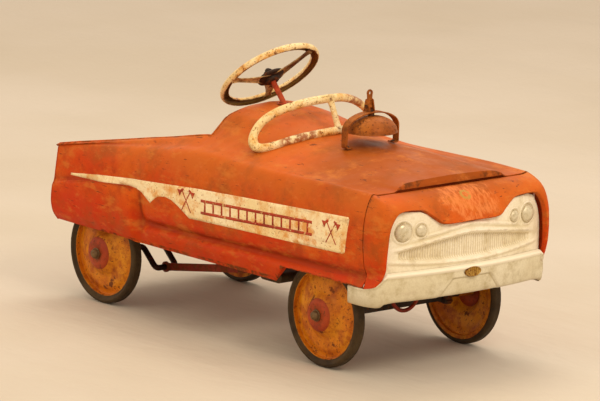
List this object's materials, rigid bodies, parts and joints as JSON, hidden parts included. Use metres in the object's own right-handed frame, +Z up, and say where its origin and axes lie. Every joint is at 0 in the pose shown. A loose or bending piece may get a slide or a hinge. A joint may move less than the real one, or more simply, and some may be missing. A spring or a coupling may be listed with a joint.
{
  "type": "pedal car",
  "caption": "Child's pressed steel pedal car with crank-driven rear axle, steered front wheels, windshield frame and hood bell.",
  "frame": {"origin": "middle of the bounding box, on the ground under the car", "axes": "+X forward, +Y to the driver's left, +Z up"},
  "size_m": [0.9337, 0.4164, 0.5192],
  "materials": {
    "red_paint": "old orange-red enamel, faded, scratched and rusty at the edges",
    "white_paint": "aged warm white enamel",
    "cream_paint": "cream enamel with brown rust specks",
    "frame_paint": "dark worn paint with rust",
    "dark_red_paint": "dark red worn paint",
    "wheel_paint": "orange-yellow paint with heavy rust",
    "rusty_steel": "bare steel with even brown rust",
    "dark_steel": "dark rusty fastener steel",
    "tyre_rubber": "hard aged rubber",
    "pedal_rubber": "aged rubber",
    "badge_metal": "tarnished yellow metal"
  },
  "bodies": {
    "body": {"body_shell": "red_paint", "front_clip": "red_paint", "grille_panel": "white_paint", "bumper": "white_paint", "badge": "badge_metal", "tail_panel": "red_paint", "seat": "red_paint", "windshield_frame": "cream_paint", "bell_bracket": "rusty_steel", "bell": "rusty_steel", "bell_bolt": "dark_steel", "lever_pin": "dark_steel", "bracket_rivets": "dark_steel", "column_boss": "red_paint", "column_bar": "frame_paint", "column_loop": "dark_red_paint", "front_beam": "frame_paint", "pivot_rod": "frame_paint", "pivot_bracket": "frame_paint", "rear_rails": "frame_paint", "rail_brackets": "frame_paint", "axle_hanger_left": "frame_paint", "axle_hanger_right": "frame_paint", "front_rails": "frame_paint", "cross_bars": "frame_paint", "beam_drops": "frame_paint", "rail_bolts": "dark_steel"},
    "bell_pull": {"bell_lever": "rusty_steel"},
    "steering": {"steering_wheel": "cream_paint", "steering_nut": "dark_steel", "steering_shaft": "dark_red_paint"},
    "tie": {"tie_rod": "dark_red_paint"},
    "knuckle_left": {"spindle_left": "frame_paint"},
    "knuckle_right": {"spindle_right": "frame_paint"},
    "wheel_front_left": {"disc_front_left": "wheel_paint", "tyre_front_left": "tyre_rubber", "cap_front_left": "dark_steel"},
    "wheel_front_right": {"disc_front_right": "wheel_paint", "tyre_front_right": "tyre_rubber", "cap_front_right": "dark_steel"},
    "crank": {"rear_axle": "frame_paint", "disc_rear_right": "wheel_paint", "tyre_rear_right": "tyre_rubber", "cap_rear_right": "dark_steel"},
    "wheel_rear_left": {"disc_rear_left": "wheel_paint", "tyre_rear_left": "tyre_rubber", "cap_rear_left": "dark_steel"},
    "push_left": {"strap_left": "dark_red_paint"},
    "push_right": {"strap_right": "dark_red_paint"},
    "swing_left": {"hanger_left": "frame_paint"},
    "swing_right": {"hanger_right": "frame_paint"},
    "foot_left": {"pedal_left": "pedal_rubber"},
    "foot_right": {"pedal_right": "pedal_rubber"}
  },
  "joints": [
    {"name": "bell_lever_rock", "type": "hinge", "parent": "body", "child": "bell_pull", "pos_m": [0.181, 0, 0.436], "axis": [0, 1, 0], "range_deg": [-15, 15], "stiffness_Nm_per_rad": 0.05},
    {"name": "steer", "type": "hinge", "parent": "body", "child": "steering", "pos_m": [-0.092, 0, 0.451], "axis": [-0.6691, 0, 0.7431], "range_deg": [-35, 35]},
    {"name": "kingpin_left", "type": "hinge", "parent": "body", "child": "knuckle_left", "pos_m": [0.2635, 0.125, 0.095], "axis": [0, 0, 1], "range_deg": [-17.1, 17.1]},
    {"name": "kingpin_right", "type": "hinge", "parent": "body", "child": "knuckle_right", "pos_m": [0.2635, -0.125, 0.095], "axis": [0, 0, 1], "range_deg": [-17.1, 17.1]},
    {"name": "tie_slide", "type": "slide", "parent": "body", "child": "tie", "axis": [0, 1, 0], "range_m": [-0.018, 0.018]},
    {"name": "spin_front_left", "type": "hinge", "parent": "knuckle_left", "child": "wheel_front_left", "pos_m": [0.2635, 0.162, 0.095], "axis": [0, 1, 0], "continuous": true},
    {"name": "spin_front_right", "type": "hinge", "parent": "knuckle_right", "child": "wheel_front_right", "pos_m": [0.2635, -0.162, 0.095], "axis": [0, 1, 0], "continuous": true},
    {"name": "crank_turn", "type": "hinge", "parent": "body", "child": "crank", "pos_m": [-0.3535, 0, 0.095], "axis": [0, 1, 0], "continuous": true},
    {"name": "spin_rear_left", "type": "hinge", "parent": "crank", "child": "wheel_rear_left", "pos_m": [-0.3535, 0.162, 0.095], "axis": [0, 1, 0], "continuous": true},
    {"name": "push_left_pivot", "type": "hinge", "parent": "crank", "child": "push_left", "pos_m": [-0.39214, 0.05, 0.12979], "axis": [0, 1, 0], "continuous": true},
    {"name": "push_right_pivot", "type": "hinge", "parent": "crank", "child": "push_right", "pos_m": [-0.31486, -0.05, 0.06021], "axis": [0, 1, 0], "continuous": true},
    {"name": "swing_left_pivot", "type": "hinge", "parent": "body", "child": "swing_left", "pos_m": [0.1, 0.06, 0.318], "axis": [0, -1, 0], "range_deg": [-7.1, 28.3]},
    {"name": "swing_right_pivot", "type": "hinge", "parent": "body", "child": "swing_right", "pos_m": [0.1, -0.06, 0.318], "axis": [0, -1, 0], "range_deg": [-29.6, 5.7]},
    {"name": "pedal_left_spin", "type": "hinge", "parent": "swing_left", "child": "foot_left", "pos_m": [0.00761, 0.1, 0.14738], "axis": [0, 1, 0], "continuous": true},
    {"name": "pedal_right_spin", "type": "hinge", "parent": "swing_right", "child": "foot_right", "pos_m": [0.08, -0.1, 0.125], "axis": [0, 1, 0], "continuous": true}
  ],
  "couplings": [
    {"joint": "kingpin_left", "follows": "steer", "ratio": 0.4803},
    {"joint": "kingpin_right", "follows": "steer", "ratio": 0.4803},
    {"joint": "tie_slide", "follows": "steer", "m_per_rad": -0.028169},
    {"joint": "push_left_pivot", "follows": "crank_turn", "ratio": -1},
    {"joint": "push_right_pivot", "follows": "crank_turn", "ratio": -1}
  ]
}
